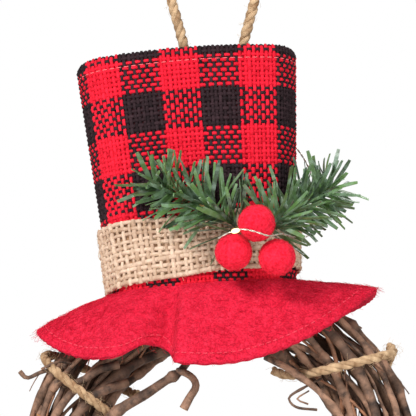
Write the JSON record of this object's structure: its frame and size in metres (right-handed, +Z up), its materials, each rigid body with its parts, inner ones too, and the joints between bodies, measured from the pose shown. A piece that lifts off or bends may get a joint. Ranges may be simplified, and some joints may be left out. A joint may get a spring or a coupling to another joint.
{
  "type": "hanging grapevine snowman",
  "caption": "Hanging snowman of twisted vine rings with a checked fabric top hat, felt brim, pine sprigs, felt balls and a battery light string.",
  "frame": {"origin": "where a hook touches the inside of the top of the hanging loop", "axes": "+Z up; +X to the viewer's right when facing the snowman's front; -Y towards the viewer"},
  "size_m": [0.2894, 0.108, 0.6627],
  "materials": {
    "buffalo_check": "coarse plain weave in red and black yarn",
    "liner": "stiff black interfacing",
    "burlap": "open plain weave of natural jute",
    "red_felt": "soft pressed felt",
    "red_felt_ball": "needle-felted wool",
    "jute_twine": "three-ply natural twine",
    "pine_needles": "matt PVC strip",
    "tan_stem": "paper-wrapped wire",
    "silver_wire": "thin lacquered wire",
    "lamp_glow": "clear resin drop over a warm lamp",
    "case_plastic": "fine-grained black plastic",
    "switch_plastic": "plain off-white plastic",
    "cell_sleeve": null,
    "spring_metal": "bright plated steel",
    "circuit_board": "solder-mask green",
    "foam_pad": "white foam adhesive pad",
    "grapevine": "dry peeling bark",
    "dark_vine": "dry bark in shade",
    "scarf_check": "coarse plain weave in red and black yarn"
  },
  "bodies": {
    "snowman": {"crown_fabric": "buffalo_check", "crown_liner": "liner", "crown_top_panel": "liner", "hat_band": "burlap", "brim_top": "red_felt", "brim_under": "red_felt", "hanging_loop": "jute_twine", "loop_knots": "jute_twine", "pine_sprig_left": "pine_needles", "pine_sprig_right": "pine_needles", "felt_ball_left": "red_felt_ball", "felt_ball_right": "red_felt_ball", "felt_ball_top": "red_felt_ball", "ball_stems": "tan_stem", "led_wire": "silver_wire", "led_lamps": "lamp_glow", "battery_case": "case_plastic", "battery_cell_1": "cell_sleeve", "battery_cell_2": "cell_sleeve", "contact_springs": "spring_metal", "contact_plates": "spring_metal", "timer_board": "circuit_board", "mounting_pad": "foam_pad", "head_core_vines": "dark_vine", "body_core_vines": "dark_vine", "head_twine_right": "jute_twine", "head_twine_left": "jute_twine", "body_twine": "jute_twine", "hat_tie": "jute_twine", "neck_lashing": "jute_twine", "scarf_neck": "scarf_check", "scarf_knot": "scarf_check", "scarf_tail_left": "scarf_check", "scarf_tail_right": "scarf_check", "head_vine_1": "grapevine", "head_vine_2": "grapevine", "head_vine_3": "grapevine", "head_vine_4": "grapevine", "head_vine_5": "grapevine", "head_vine_6": "grapevine", "head_vine_7": "grapevine", "head_vine_8": "grapevine", "head_vine_9": "grapevine", "head_vine_10": "grapevine", "head_vine_11": "grapevine", "body_vine_1": "grapevine", "body_vine_2": "grapevine", "body_vine_3": "grapevine", "body_vine_4": "grapevine", "body_vine_5": "grapevine", "body_vine_6": "grapevine", "body_vine_7": "grapevine", "body_vine_8": "grapevine", "body_vine_9": "grapevine", "body_vine_10": "grapevine", "body_vine_11": "grapevine", "body_vine_12": "grapevine"},
    "cover": {"battery_cover": "case_plastic"},
    "switch": {"power_switch": "switch_plastic"}
  },
  "joints": [
    {"name": "cover_slide", "type": "slide", "parent": "snowman", "child": "cover", "axis": [0.9969, 0, 0.0785], "range_m": [0, 0.078]},
    {"name": "switch_slide", "type": "slide", "parent": "snowman", "child": "switch", "axis": [0.9969, 0, 0.0785], "range_m": [0, 0.004]}
  ]
}
